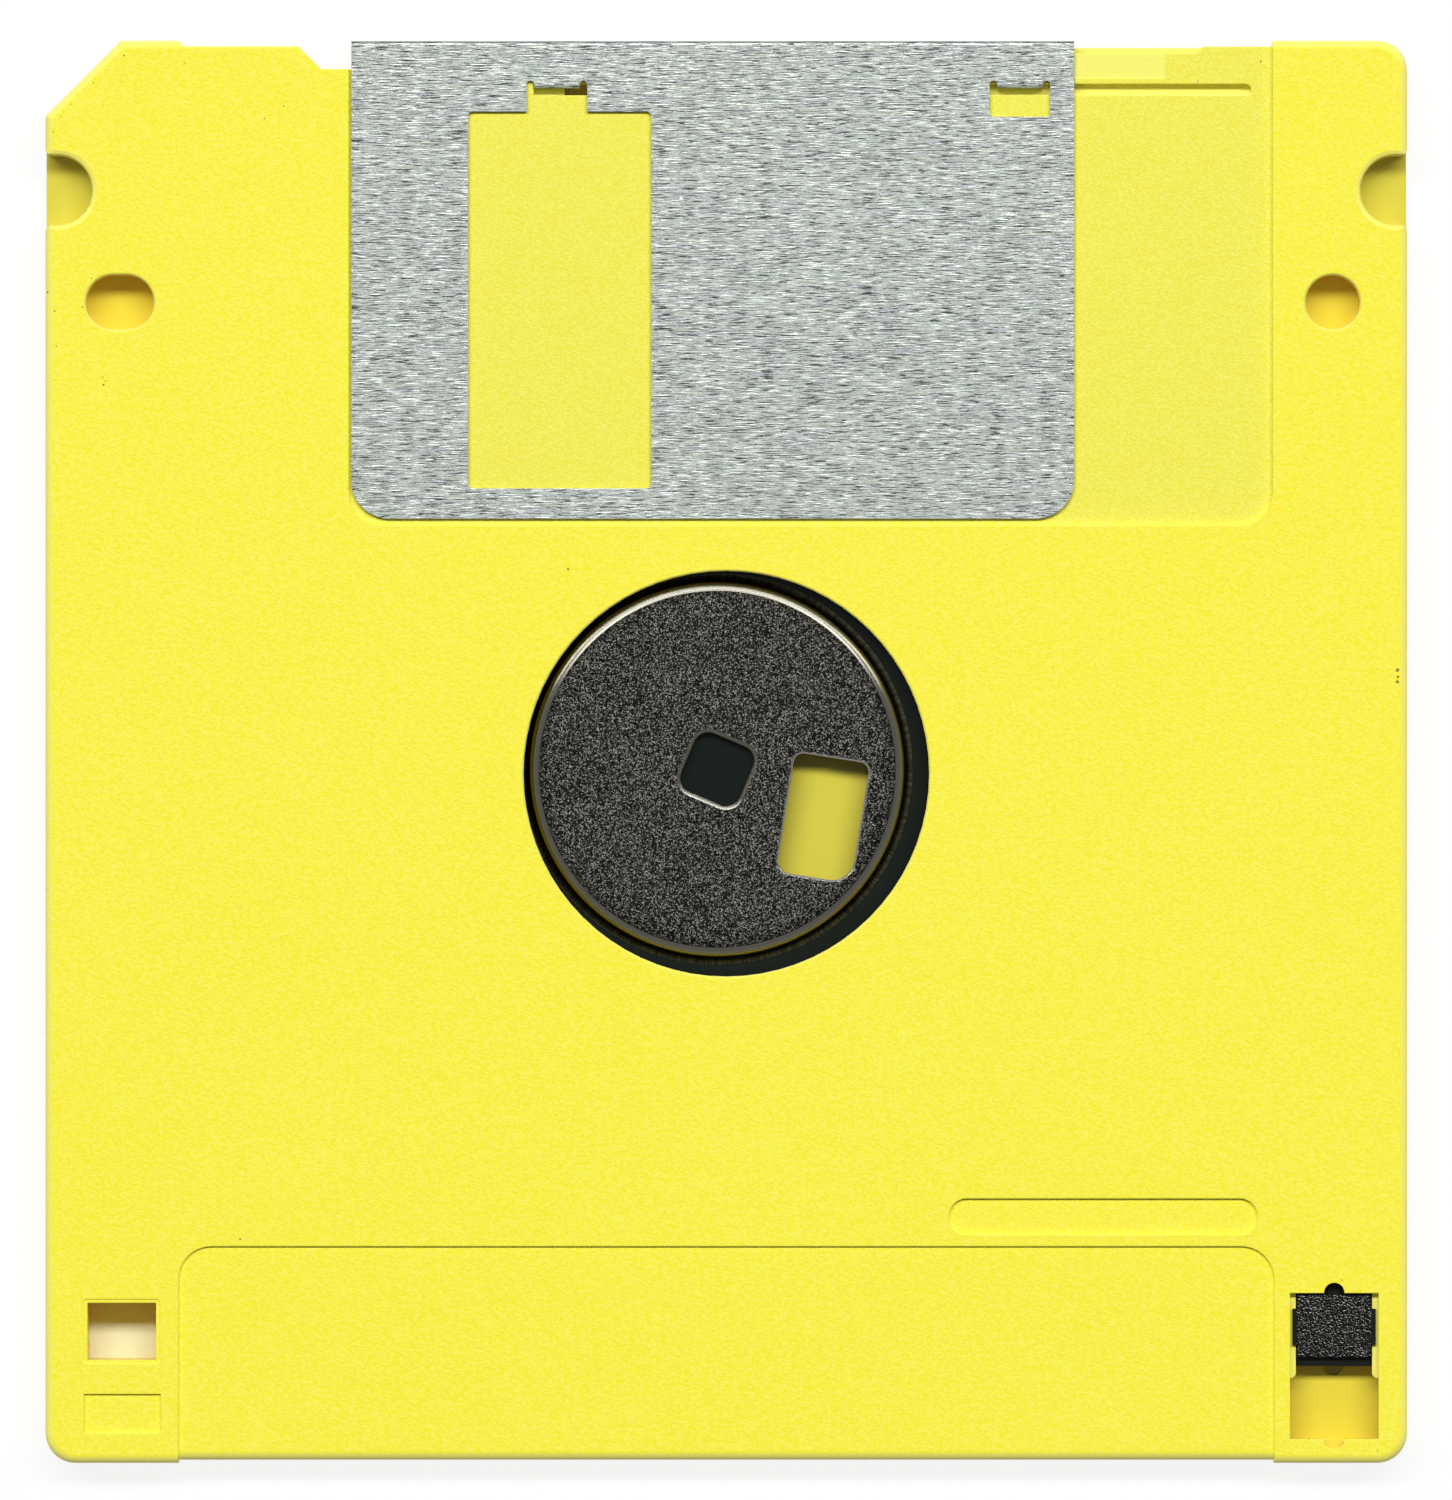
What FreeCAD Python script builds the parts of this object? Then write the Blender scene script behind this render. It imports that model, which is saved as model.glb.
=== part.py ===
import FreeCAD, Part
import math
import os

# A 3.5 inch floppy disk, lying label side down on the plane Z = 0.
# The sliding shutter is at the +Y end and the metal hub faces up, to +Z.
# X = 0, Y = 0 is the middle of the 90 x 94 mm case. All sizes are in millimetres.

# Case: a disc, its running room and the walls round it give the outer size
disc_diameter = 85.8
disc_side_gap = 0.9
disc_end_gap = 1.0
side_wall = 1.2
shutter_end_depth = 4.55
label_end_depth = 1.65
case_thickness = 3.3
plate_thickness = 0.95
corner_radius = 2.0
corner_chamfer = 5.0
edge_radius = 0.6
chamber_rib = 0.9
pocket_start = 16.0
boss_wall = 0.8
least_radius = 0.3
round_end_flat = 0.02

# Stack of the disc, from the middle plane outwards
disc_thickness = 0.08
liner_thickness = 0.25
liner_edge_gap = 0.9
liner_hole_gap = 1.1
liner_slot_width = 12.4
adhesive_thickness = 0.06

# Hub: a drawn steel cup with a flange, lying where it floated to in its opening
hub_diameter = 25.0
hub_flange_width = 2.9
hub_sheet = 0.3
hub_sink = 0.4
hub_edge_radius = 0.65
hub_rim_fall = 0.04
hub_rim_fall_width = 0.65
hub_flange_bend = 0.4
hub_float_x = -0.6
hub_float_y = 0.3
hub_opening_gap = 0.9
hub_opening_edge = 0.1
hub_bend_gap = 0.05
spindle_hole_side = 4.2
spindle_hole_corner = 1.0
spindle_hole_turn = -23.0
drive_hole_width = 5.0
drive_hole_length = 8.0
drive_hole_x = 7.0
drive_hole_y = -3.2
drive_hole_turn = -9.0
drive_hole_corners = (0.9, 1.5, 0.65, 0.65)
adhesive_margin = 0.25

# Wear button under the middle of the hub
button_diameter = 8.0
button_gap = 0.3
button_edge = 0.4

# Lifter: a thin leaf in a pocket of the front shell, which presses on the liner
lifter_length = 17.0
lifter_width = 12.0
lifter_sheet = 0.1
lifter_pocket_depth = 0.25
lifter_from_liner_edge = 6.0
lifter_bent_length = 11.0
lifter_gap = 0.02
lifter_side_gap = 0.15

# Head window through both shells
head_window_width = 8.8
head_window_length = 23.7
head_window_from_top = 5.3
head_window_corner = 1.0

# Shutter: a folded steel sheet that slides along +X
shutter_width = 47.75
shutter_middle_x = -0.895
shutter_foot = 2.0
shutter_sheet = 0.2
shutter_bend = 0.06
shutter_corner = 2.5
shutter_travel = 12.5
shutter_face_gap = 0.1
shutter_side_gap = 0.18
shutter_bottom_gap = 0.45
shutter_sink = 0.05
shutter_end_gap = 0.62
shutter_fold_gap = 0.15
recess_corner = 2.2
window_width = 12.1
window_margin_x = 0.15
window_margin_y = 0.6
window_corner = 0.35

# Guide tabs bent down out of the shutter's back, and their groove in the case
tab_width = 3.0
tab_left_from_window = 4.36
tab_right_margin = 2.08
tab_relief = 0.25
tab_window_height = 2.13
tab_window_corner = 0.25
groove_width = 0.76
groove_from_top = 2.86
groove_depth = 0.7
groove_side_gap = 0.12
groove_left_gap = 0.05
groove_right_gap = 1.28
groove_strip_wall = 0.5
tab_bottom_gap = 0.1
tab_entry_from_tab = 2.05
tab_entry_length = 2.5
tab_entry_floor = 1.2

# Shutter end of the case
rail_step = 0.4
left_rail_width = 8.8
back_edge_step = 0.47
back_edge_stop = 4.6
lever_notch_reach = 3.48
lever_notch_depth = 1.5
lever_notch_cover = 0.5
slide_flat_right = 7.1
slide_flat_length = 20.0
slide_flat_height = 1.63
slide_flat_depth = 0.05

# Torsion spring that closes the shutter, in the corner room beside it
spring_wire = 0.35
spring_coil_radius = 2.3
spring_turns = 2
spring_pitch = 0.4
spring_bearing = 53.7
spring_room_gap = 0.6
spring_floor_gap = 0.05
spring_fixed_from_side = 7.0
spring_fixed_from_top = 4.5
spring_lug_gap = 0.05
spring_post_radius = 0.7
lug_depth = 1.65
lug_height = 0.9
lug_floor_gap = 0.05
lug_slot_gap = 0.3
lug_slot_height = 1.05

# Holes and hollows of the case
datum_from_side = 4.94
datum_from_top = 17.3
datum_hole_radius = 1.8
datum_slot_length = 4.5
datum_edge = 0.12
notch_from_top = 9.9
notch_radius = 2.3
notch_inset = 0.8
notch_edge = 0.33
notch_floor = 1.0
notch_mouth_radius = 0.5
density_hole_x = 2.8
density_hole_y = 6.83
density_hole_width = 4.53
density_hole_height = 3.77
density_ledge_width = 0.25
density_ledge_depth = 0.06
mould_recess_x = 2.57
mould_recess_y = 2.0
mould_recess_width = 5.08
mould_recess_height = 2.58
mould_recess_depth = 0.2
strip_recess_right = 9.9
strip_recess_length = 20.4
strip_recess_height = 2.4
strip_recess_y = 16.3
strip_recess_depth = 0.25
label_margin = 8.8
label_back_height = 14.34
label_front_gap = 6.95
label_corner = 2.2
label_depth = 0.2

# Write-protect tab and its slot
protect_slot_x = 4.84
protect_slot_y = 1.6
protect_slot_width = 5.86
protect_slot_length = 9.65
protect_notch_radius = 0.68
protect_face_width = 4.84
protect_face_length = 4.1
protect_step_length = 0.6
protect_step_height = 0.45
protect_end_gap = 0.15
protect_face_sink = 0.35
protect_ear_reach = 0.33
protect_ear_length = 2.4
protect_ear_start = 0.9
protect_ear_thickness = 0.2
protect_ledge_length = 5.65
protect_ledge_height = 0.35
protect_ledge_gap = 0.1
protect_ledge_end_flat = 0.04
protect_well_radius = 0.65
protect_well_depth = 0.3
protect_base_reach = 0.33
protect_base_gap = 0.07
protect_nub_radius = 0.45
protect_nub_reach = 0.1
protect_base_cover = 0.3
protect_pocket_gap = 0.2
protect_hole_x = 2.8
protect_hole_width = 4.53
protect_hole_y = 6.83
protect_hole_height = 3.77

# Weld pins that join the shells, one near each corner
pin_radius = 0.9
pin_clearance = 0.05
pin_height = 0.5
pin_boss_wall = 0.8
pin_lower_x = 11.5
pin_lower_y = 3.7
pin_left_x = 6.5
pin_right_x = 3.7
pin_upper_y = 4.6

# Short flats that make up a rounded edge or bend of a turned form
rim_flat_count = 5
bend_flat_count = 2
edge_flat_count = 1

# Stretches of arc in each turn of the spring's coil
coil_stretches = 2

# How near two places are when they count as one
same_place = 1e-6
same_height = 0.003

# Places worked out from the sizes
middle = case_thickness / 2
front_inside = plate_thickness
back_inside = case_thickness - plate_thickness
flange_diameter = hub_diameter + 2 * hub_flange_width
hub_opening_diameter = hub_diameter + 2 * hub_opening_gap
liner_hole_diameter = flange_diameter + 2 * liner_hole_gap
liner_diameter = disc_diameter - 2 * liner_edge_gap
disc_radius = disc_diameter / 2
chamber_radius = disc_radius + disc_end_gap
case_width = 2 * (disc_radius + disc_side_gap + side_wall)
case_length = shutter_end_depth + 2 * chamber_radius + label_end_depth
side = case_width / 2
top = case_length / 2
bottom = -case_length / 2
centre_y = top - shutter_end_depth - chamber_radius
hub_x = hub_float_x
hub_y = centre_y + hub_float_y
beyond = case_thickness

head_top = top - head_window_from_top
head_bottom = head_top - head_window_length
window_left = -head_window_width / 2 - window_margin_x - shutter_travel
window_right = window_left + window_width
window_top = head_top + window_margin_y
window_bottom = head_bottom - window_margin_y

rail_top = top - rail_step
shutter_left = shutter_middle_x - shutter_width / 2
shutter_right = shutter_left + shutter_width
shutter_top = rail_top + shutter_fold_gap + shutter_sheet
shutter_bottom = window_bottom - shutter_foot
recess_left = shutter_left - shutter_side_gap
recess_right = shutter_right + shutter_travel + shutter_end_gap
recess_bottom = shutter_bottom - shutter_bottom_gap
recess_depth = shutter_sink + shutter_sheet + shutter_face_gap
back_plate_top = case_thickness - shutter_sink
back_plate_under = back_plate_top - shutter_sheet

tab_left_x = window_left + tab_left_from_window
tab_right_x = shutter_right - tab_right_margin - tab_width
groove_top = top - groove_from_top
groove_bottom = groove_top - groove_width
groove_left = tab_left_x - groove_left_gap
groove_right = tab_right_x + tab_width + shutter_travel + groove_right_gap
groove_floor = case_thickness - recess_depth - groove_depth
tab_face = groove_top - groove_side_gap - shutter_sheet
tab_edge = tab_face + shutter_sheet + shutter_bend
tab_bottom = groove_floor + tab_bottom_gap

datum_x = side - datum_from_side
datum_y = top - datum_from_top
notch_x = side - notch_inset
notch_y = top - notch_from_top
slot_x = side - protect_slot_x
slot_bottom = bottom + protect_slot_y
slot_top = slot_bottom + protect_slot_length
face_top = slot_top - protect_end_gap
face_bottom = face_top - protect_face_length
step_bottom = face_bottom - protect_step_length
base_half = protect_slot_width / 2 + protect_base_reach
pocket_half = base_half + protect_pocket_gap
pocket_top = slot_top + protect_notch_radius + protect_pocket_gap
pocket_bottom = slot_bottom - protect_pocket_gap

pins = (
    (-side + pin_lower_x, bottom + pin_lower_y),
    (side - pin_lower_x, bottom + pin_lower_y),
    (-side + pin_left_x, rail_top - pin_upper_y),
    (side - pin_right_x, rail_top - pin_upper_y + side_wall),
)


def vector(x, y, z=0.0):
    return FreeCAD.Vector(x, y, z)


def box(x_from, x_to, y_from, y_to, z_from, z_to):
    size = (x_to - x_from, y_to - y_from, z_to - z_from)
    return Part.makeBox(*size, vector(x_from, y_from, z_from))


def post(x, y, radius, z_from, z_to):
    return Part.makeCylinder(radius, z_to - z_from, vector(x, y, z_from))


def prism(points, z_from, z_to, radii=None):
    # Straight-sided block on an outline, each upright corner with its own radius
    corners = [vector(x, y, z_from) for x, y in points]
    outline = Part.makePolygon(corners + corners[:1])
    solid = Part.Face(outline).extrude(vector(0, 0, z_to - z_from))
    for corner, radius in zip(corners, radii or []):
        if radius > 0:
            corner_edges = [edge for edge in solid.Edges if stands_at(edge, corner)]
            solid = solid.makeFillet(radius, corner_edges)
    return solid


def stands_at(edge, corner):
    ends = edge.Vertexes
    upright = len(ends) == 2 and abs(ends[0].Z - ends[1].Z) > same_height
    place = edge.CenterOfMass
    return upright and math.hypot(place.x - corner.x, place.y - corner.y) < same_place


def rectangle(x_from, x_to, y_from, y_to):
    # Corners in order: lower left, lower right, upper right, upper left
    return [(x_from, y_from), (x_to, y_from), (x_to, y_to), (x_from, y_to)]


def turned(solid, x, y, angle):
    # Turns a solid made at the origin and carries it to its place
    solid.rotate(vector(0, 0), vector(0, 0, 1), angle)
    solid.translate(vector(x, y))
    return solid


def profile_face(pieces):
    # Closed outline from lines of two points and arcs of three
    edges = []
    for piece in pieces:
        if len(piece) == 2:
            edges.append(Part.LineSegment(*piece).toShape())
        else:
            edges.append(Part.Arc(*piece).toShape())
    return Part.Face(Part.Wire(edges))


def quarter(x, z, radius, start, flats):
    # Quarter round in the XZ plane about x, z: clockwise from an angle, in short flats
    points = []
    for step in range(flats + 1):
        angle = math.radians(start - 90 * step / flats)
        points.append(vector(x + radius * math.cos(angle), 0, z + radius * math.sin(angle)))
    return points


def section_face(points):
    return Part.Face(Part.makePolygon(points + points[:1]))


def flared_hole(x, y, length, width, floor, edge, flats):
    # Cutter for a round hole or a slot along X, with its mouth rounded over
    radius = width / 2
    half = (length - width) / 2
    mouth = radius + edge
    points = [vector(0, 0, floor), vector(radius, 0, floor)]
    points += quarter(mouth, case_thickness - edge, edge, 180, flats)
    points += [vector(mouth, 0, case_thickness + beyond), vector(0, 0, case_thickness + beyond)]
    section = section_face(points)
    cutter = section.revolve(vector(0, 0), vector(0, 0, 1), 360)
    if half > 0:
        other = cutter.copy()
        cutter.translate(vector(-half, 0))
        other.translate(vector(half, 0))
        middle_part = slot_middle(section, half)
        cutter = cutter.fuse([other, middle_part]).removeSplitter()
    cutter.translate(vector(x, y))
    return cutter


def slot_middle(section, half):
    # Stretch between the two ends of a slot, on both sides of its centre line
    section = section.copy()
    section.rotate(vector(0, 0), vector(0, 0, 1), 90)
    section.translate(vector(-half, 0))
    upper = section.extrude(vector(2 * half, 0))
    lower = upper.mirror(vector(0, 0), vector(0, 1, 0))
    return upper.fuse(lower)


def case_block(inset, z_from, z_to):
    # The case's outline moved inwards: three round corners and one chamfered
    x = side - inset
    y = top - inset
    cut = corner_chamfer - inset * (2 - math.sqrt(2))
    points = [(-x, -y), (x, -y), (x, y), (cut - x, y), (-x, y - cut)]
    radius = max(corner_radius - inset, least_radius)
    return prism(points, z_from, z_to, (radius, radius, radius, 0, 0))


def rounded_case(inset):
    # The whole case as one block with its outer edges rounded over
    z_from = inset
    z_to = case_thickness - inset
    block = case_block(inset, z_from, z_to)
    rims = []
    for edge in block.Edges:
        heights = [vertex.Z for vertex in edge.Vertexes]
        if max(heights) - min(heights) < same_height:
            rims.append(edge)
    return block.makeFillet(edge_radius, rims)


def label_cut():
    # Wrap-round hollow for the label: tall in front, short behind, open at the edge
    corners = (0, 0, label_corner, label_corner)
    left = label_margin - side
    right = side - label_margin
    below = bottom - beyond
    front = rectangle(left, right, below, recess_bottom - label_front_gap)
    back = rectangle(left, right, below, bottom + label_back_height)
    zone = prism(front, -beyond, middle, corners)
    zone = zone.fuse(prism(back, middle, case_thickness + beyond, corners))
    return zone.cut(rounded_case(label_depth))


def shutter_cut():
    # Hollow that the shutter slides in, on both faces and over the end
    above = top + beyond
    zone = prism(
        rectangle(recess_left, recess_right, recess_bottom, above),
        -beyond,
        case_thickness + beyond,
        (recess_corner, recess_corner, 0, 0),
    )
    inner = box(-side, side, bottom, rail_top, recess_depth, case_thickness - recess_depth)
    cutter = zone.cut(inner)
    rail = left_rail_width - side
    step = [(rail, top), (rail + rail_step, rail_top), (recess_left, rail_top)]
    step += [(recess_left, above), (rail, above)]
    return cutter.fuse(prism(step, -beyond, case_thickness + beyond))


def lever_notch(grow):
    # Notch where the drive's lever reaches the shutter's edge
    left = shutter_left - lever_notch_reach
    right = shutter_left + lever_notch_cover
    floor = rail_top - lever_notch_depth
    points = [(left - grow, rail_top), (left + lever_notch_depth - grow, floor - grow)]
    points += [(right + grow, floor - grow), (right + grow, top + beyond)]
    points += [(left - grow, top + beyond)]
    return prism(points, -beyond, case_thickness + beyond)


def back_edge_cut():
    # The back shell stands back from the front one along the shutter's end
    edge = rail_top - back_edge_step
    stop = recess_right - back_edge_stop
    points = [(recess_left, edge), (stop - back_edge_step, edge), (stop, rail_top)]
    points += [(stop, top + beyond), (recess_left, top + beyond)]
    return prism(points, middle, case_thickness + beyond)


def rooms(z_from, z_to):
    # Disc chamber and the four corner pockets, between two heights
    inner = case_block(side_wall, z_from, z_to)
    inner = inner.common(box(-side, side, bottom, rail_top - side_wall, z_from, z_to))
    chamber = inner.common(post(0, centre_y, chamber_radius, z_from, z_to))
    pockets = inner.cut(post(0, centre_y, chamber_radius + chamber_rib, z_from, z_to))
    middle_band = box(-side, side, centre_y - pocket_start, centre_y + pocket_start, z_from, z_to)
    end_band = box(-pocket_start, pocket_start, bottom, top, z_from, z_to)
    pockets = pockets.cut([middle_band, end_band] + bosses(z_from, z_to))
    return chamber.fuse(pockets)


def bosses(z_from, z_to):
    # Walls that stand in the corner pockets, round each hole and notch
    tube = datum_hole_radius + boss_wall
    slot_half = (datum_slot_length - 2 * datum_hole_radius) / 2
    hole_left, hole_right, hole_bottom, hole_top = density_hole()
    pocket_left = slot_x - pocket_half - boss_wall
    return [
        post(datum_x, datum_y, tube, z_from, z_to),
        post(-datum_x - slot_half, datum_y, tube, z_from, z_to),
        post(-datum_x + slot_half, datum_y, tube, z_from, z_to),
        post(-notch_x, notch_y, notch_radius + notch_edge + boss_wall, z_from, z_to),
        post(notch_x, notch_y, notch_radius + notch_edge + boss_wall, z_from, z_to),
        box(
            -side,
            hole_right + boss_wall,
            hole_bottom - boss_wall,
            hole_top + boss_wall,
            z_from,
            z_to,
        ),
        box(pocket_left, side, bottom, pocket_top + boss_wall, z_from, z_to),
        lever_notch(boss_wall),
    ]


def density_hole():
    left = density_hole_x - side
    low = bottom + density_hole_y
    return left, left + density_hole_width, low, low + density_hole_height


def protect_hole():
    right = side - protect_hole_x
    low = bottom + protect_hole_y
    return right - protect_hole_width, right, low, low + protect_hole_height


def protect_pocket():
    return box(
        slot_x - pocket_half,
        slot_x + pocket_half,
        pocket_bottom,
        pocket_top,
        front_inside,
        back_inside,
    )


def head_window():
    half = head_window_width / 2
    outline = rectangle(-half, half, head_bottom, head_top)
    return prism(outline, -beyond, case_thickness + beyond, (head_window_corner,) * 4)


def lug_slot():
    # Gap in the end wall that the shutter's spring lug runs along
    return box(
        shutter_right - shutter_sheet - lug_slot_gap,
        shutter_right + shutter_travel + lug_slot_gap,
        rail_top - side_wall - spring_wire,
        top + beyond,
        front_inside,
        front_inside + lug_slot_height,
    )


def side_notches():
    # Finger notches in both long sides, on a floor inside the front shell
    width = 2 * notch_radius
    outer = side + width
    place = (notch_x + outer) / 2
    length = outer - notch_x + width
    cutters = []
    for x in (-place, place):
        cutters.append(flared_hole(x, notch_y, length, width, notch_floor, notch_edge, bend_flat_count))
    return cutters + notch_mouths()


def notch_mouths():
    # Rounds the corners where each finger notch opens at the case's side
    radius = notch_mouth_radius
    cutters = []
    for x_sign in (-1, 1):
        for y_sign in (-1, 1):
            x = x_sign * (side - radius)
            y = notch_y + y_sign * (notch_radius + radius)
            x_from, x_to = sorted((x, x_sign * (side + beyond)))
            y_from, y_to = sorted((y, notch_y))
            corner = box(x_from, x_to, y_from, y_to, notch_floor, case_thickness)
            cutters.append(corner.cut(post(x, y, radius, notch_floor, case_thickness)))
    return cutters


def datum_holes():
    width = 2 * datum_hole_radius
    sizes = (width, front_inside, datum_edge, edge_flat_count)
    round_hole = flared_hole(datum_x, datum_y, width, *sizes)
    slot = flared_hole(-datum_x, datum_y, datum_slot_length, *sizes)
    return [round_hole, slot]


def spring_frame():
    # Coil centre, and the two places where the legs end
    reach = chamber_radius + chamber_rib + spring_room_gap + spring_coil_radius
    angle = math.radians(spring_bearing)
    coil = vector(reach * math.cos(angle), centre_y + reach * math.sin(angle))
    free = vector(
        shutter_right + spring_lug_gap + spring_wire / 2,
        rail_top - side_wall - spring_wire / 2,
    )
    fixed = vector(side - spring_fixed_from_side, top - spring_fixed_from_top)
    return coil, free, fixed


def make_front_shell():
    # Label side half: plate, end walls up to the middle plane, pins and spring stop
    shell = rounded_case(0).common(box(-side, side, bottom, top, 0, middle))
    shell = shell.cut([label_cut(), shutter_cut(), lever_notch(0)])
    shell = shell.cut(rooms(front_inside, middle))
    hole_left, hole_right, hole_bottom, hole_top = density_hole()
    left, right, low, high = protect_hole()
    through = case_thickness + beyond
    cutters = [
        head_window(),
        box(hole_left, hole_right, hole_bottom, hole_top, -beyond, through),
        box(left, right, low, high, -beyond, through),
        protect_pocket(),
        protect_well(),
        lug_slot(),
        lifter_pocket(),
        tab_entry(),
    ]
    shell = shell.cut(cutters + datum_holes() + side_notches())
    posts = [post(x, y, pin_radius, front_inside, middle + pin_height) for x, y in pins]
    return shell.fuse(posts + [spring_stop()]).removeSplitter()


def spring_stop():
    # Post that the fixed leg leans on, just short of the leg's end
    coil, free, fixed = spring_frame()
    along = fixed.sub(coil)
    along.normalize()
    across = vector(along.y, -along.x)
    reach = spring_post_radius + spring_wire + spring_lug_gap
    place = fixed.sub(along * spring_post_radius).add(across * reach)
    return post(place.x, place.y, spring_post_radius, front_inside, back_inside - spring_floor_gap)


def tab_entry():
    # Deep end of the groove, where the left tab was let in
    left = groove_left + tab_entry_from_tab
    return box(
        left,
        left + tab_entry_length,
        groove_bottom,
        groove_top,
        tab_entry_floor,
        case_thickness,
    )


def groove_strip():
    # Thicker strip of the back shell that carries the groove over the spring room
    return box(
        pocket_start,
        recess_right,
        groove_bottom - groove_strip_wall,
        groove_top + groove_strip_wall,
        groove_floor - groove_strip_wall,
        back_inside,
    )


def groove_cut():
    radius = (groove_width - round_end_flat) / 2
    outline = rectangle(groove_left, groove_right, groove_bottom, groove_top)
    return prism(outline, groove_floor, case_thickness + beyond, (0, radius, radius, 0))


def slide_flat():
    # Shallow smooth flat beside the groove, along the shutter end's edge
    right = recess_right - slide_flat_right
    edge = rail_top - back_edge_step
    floor = case_thickness - recess_depth - slide_flat_depth
    low = edge - slide_flat_height
    return box(right - slide_flat_length, right, low, top, floor, case_thickness + beyond)


def density_ledge():
    # Shallow frame let into the face round the density hole
    left, right, low, high = density_hole()
    outline = rectangle(
        left - density_ledge_width,
        right + density_ledge_width,
        low - density_ledge_width,
        high + density_ledge_width,
    )
    floor = case_thickness - density_ledge_depth
    return prism(outline, floor, case_thickness + beyond, (density_ledge_width,) * 4)


def make_back_shell():
    # Hub side half: plate with the hub opening, grooves, recesses and pin sockets
    shell = rounded_case(0).common(box(-side, side, bottom, top, middle, case_thickness))
    shell = shell.cut([label_cut(), shutter_cut(), lever_notch(0), back_edge_cut()])
    shell = shell.cut(rooms(middle, back_inside).cut(groove_strip()))
    hole_left, hole_right, hole_bottom, hole_top = density_hole()
    through = case_thickness + beyond
    width = hub_opening_diameter
    cutters = [
        head_window(),
        box(hole_left, hole_right, hole_bottom, hole_top, -beyond, through),
        density_ledge(),
        flared_hole(0, centre_y, width, width, 0, hub_opening_edge, edge_flat_count),
        protect_pocket(),
        lug_slot(),
        tab_entry(),
        groove_cut(),
        slide_flat(),
        mould_recess(),
        strip_recess(),
    ]
    cutters += datum_holes() + side_notches() + protect_slot()
    shell = shell.cut(cutters)
    sockets = pin_sockets()
    return shell.fuse(sockets + protect_ledges()).removeSplitter()


def mould_recess():
    left = mould_recess_x - side
    low = bottom + mould_recess_y
    floor = case_thickness - mould_recess_depth
    return box(
        left,
        left + mould_recess_width,
        low,
        low + mould_recess_height,
        floor,
        case_thickness + beyond,
    )


def strip_recess():
    # Shallow round-ended recess beside the label
    right = side - strip_recess_right
    half = strip_recess_height / 2
    y = bottom + strip_recess_y
    outline = rectangle(right - strip_recess_length, right, y - half, y + half)
    floor = case_thickness - strip_recess_depth
    return prism(outline, floor, case_thickness + beyond, (half - round_end_flat / 2,) * 4)


def protect_slot():
    # Slot over the write-protect tab, with a half-round notch at each end
    half = protect_slot_width / 2
    upper = case_thickness + beyond
    return [
        box(slot_x - half, slot_x + half, slot_bottom, slot_top, back_inside, upper),
        post(slot_x, slot_top, protect_notch_radius, back_inside, upper),
        post(slot_x, slot_bottom, protect_notch_radius, back_inside, upper),
    ]


def protect_well():
    # Round well in the pocket's floor, half under the tab's edge
    return post(slot_x, step_bottom, protect_well_radius, front_inside - protect_well_depth, middle)


def protect_ledges():
    # Low ledges along the slot's sides that the tab's ears ride over
    width = (protect_slot_width - protect_face_width) / 2 - protect_ledge_gap
    low = slot_top - protect_ledge_length
    high = back_inside + protect_ledge_height
    half = protect_slot_width / 2
    rounding = width - protect_ledge_end_flat
    left = rectangle(slot_x - half, slot_x - half + width, low, slot_top)
    right = rectangle(slot_x + half - width, slot_x + half, low, slot_top)
    return [
        prism(left, back_inside, high, (0, rounding, 0, 0)),
        prism(right, back_inside, high, (rounding, 0, 0, 0)),
    ]


def pin_sockets():
    # Rings in the back shell that the front shell's pins stand in
    rings = []
    for x, y in pins:
        inner = pin_radius + pin_clearance
        ring = post(x, y, inner + pin_boss_wall, middle, back_inside)
        hollow = post(x, y, inner, middle, middle + pin_height + pin_clearance)
        rings.append(ring.cut(hollow))
    return rings


def make_shutter():
    # One folded sheet: two plates, the fold between them, windows, tabs and spring lug
    low = shutter_sink
    high = back_plate_top
    outer = box(shutter_left, shutter_right, shutter_bottom, shutter_top, low, high)
    outer = outer.makeFillet(shutter_bend + shutter_sheet, fold_edges(outer, shutter_top))
    inner_top = shutter_top - shutter_sheet
    inner = box(
        shutter_left,
        shutter_right,
        shutter_bottom - beyond,
        inner_top,
        low + shutter_sheet,
        high - shutter_sheet,
    )
    inner = inner.makeFillet(shutter_bend, fold_edges(inner, inner_top))
    sheet = outer.cut(inner)
    sheet = sheet.makeFillet(shutter_corner, lower_corners(sheet))
    window = rectangle(window_left, window_right, window_bottom, window_top)
    sheet = sheet.cut(prism(window, -beyond, case_thickness + beyond, (window_corner,) * 4))
    sheet = sheet.cut(tab_windows())
    tabs = [guide_tab(tab_left_x), guide_tab(tab_right_x)]
    return sheet.fuse(tabs + [spring_lug()]).removeSplitter()


def fold_edges(block, y):
    # The two long edges that the sheet is bent round
    edges = []
    for edge in block.Edges:
        place = edge.CenterOfMass
        along_x = abs(edge.Vertexes[0].X - edge.Vertexes[-1].X) > shutter_width / 2
        if along_x and abs(place.y - y) < same_place:
            edges.append(edge)
    return edges


def lower_corners(sheet):
    corners = []
    for x in (shutter_left, shutter_right):
        corner = vector(x, shutter_bottom)
        corners += [edge for edge in sheet.Edges if stands_at(edge, corner)]
    return corners


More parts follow.
